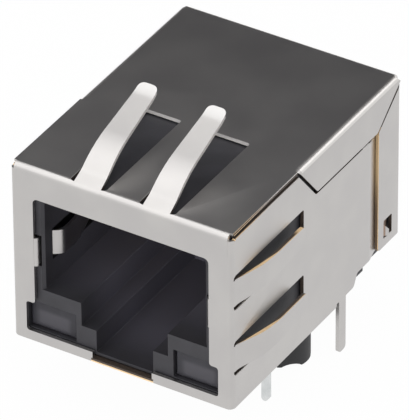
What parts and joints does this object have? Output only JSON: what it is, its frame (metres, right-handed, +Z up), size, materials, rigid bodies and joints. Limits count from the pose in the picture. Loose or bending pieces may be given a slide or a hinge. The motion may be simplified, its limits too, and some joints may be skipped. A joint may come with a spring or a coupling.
{
  "type": "modular jack",
  "caption": "Shielded board-mount modular jack for a network plug, with spring fingers, indicator lamps in the lower corners, locating pegs and solder pins, and built-in magnetics.",
  "frame": {"origin": "on the board plane, midway between the two locating pegs", "axes": "+Z up from the board, -Y out of the plug mouth, so that +X is to the right when the mouth is looked into"},
  "size_m": [0.0178, 0.021, 0.0201],
  "materials": {
    "shield_sheet": "satin nickel plate on folded copper alloy sheet",
    "housing_plastic": "moulded black, fine matt",
    "carrier_plastic": "moulded black",
    "contact_gold": "gold plated spring wire",
    "board_laminate": "green glass laminate",
    "resistor_body": "black chip",
    "capacitor_body": "buff ceramic chip",
    "case_plastic": "moulded black",
    "ferrite": "dark sintered ferrite",
    "enamelled_wire": "enamelled copper wire",
    "tinned_pin": "matt tin plate",
    "lamp_lens": "smoky diffused epoxy",
    "lamp_frame": "pale reflector block"
  },
  "bodies": {
    "root": {"shield": "shield_sheet", "housing": "housing_plastic", "contact_carrier": "carrier_plastic", "contact_1": "contact_gold", "contact_2": "contact_gold", "contact_3": "contact_gold", "contact_4": "contact_gold", "contact_5": "contact_gold", "contact_6": "contact_gold", "contact_7": "contact_gold", "contact_8": "contact_gold", "inner_board": "board_laminate", "resistor_1": "resistor_body", "resistor_2": "resistor_body", "resistor_3": "resistor_body", "resistor_4": "resistor_body", "capacitor": "capacitor_body", "magnetics_case": "case_plastic", "core_1": "ferrite", "core_2": "ferrite", "core_3": "ferrite", "core_4": "ferrite", "core_5": "ferrite", "core_6": "ferrite", "core_7": "ferrite", "core_8": "ferrite", "winding_1": "enamelled_wire", "winding_2": "enamelled_wire", "winding_3": "enamelled_wire", "winding_4": "enamelled_wire", "winding_5": "enamelled_wire", "winding_6": "enamelled_wire", "winding_7": "enamelled_wire", "winding_8": "enamelled_wire", "board_pin_1": "tinned_pin", "board_pin_2": "tinned_pin", "board_pin_3": "tinned_pin", "board_pin_4": "tinned_pin", "board_pin_5": "tinned_pin", "board_pin_6": "tinned_pin", "board_pin_7": "tinned_pin", "board_pin_8": "tinned_pin", "board_pin_9": "tinned_pin", "board_pin_10": "tinned_pin", "lamp_left": "lamp_lens", "lamp_right": "lamp_lens", "lamp_frame_left": "lamp_frame", "lamp_frame_right": "lamp_frame", "lamp_lead_1": "tinned_pin", "lamp_lead_2": "tinned_pin", "lamp_lead_3": "tinned_pin", "lamp_lead_4": "tinned_pin"}
  },
  "joints": []
}
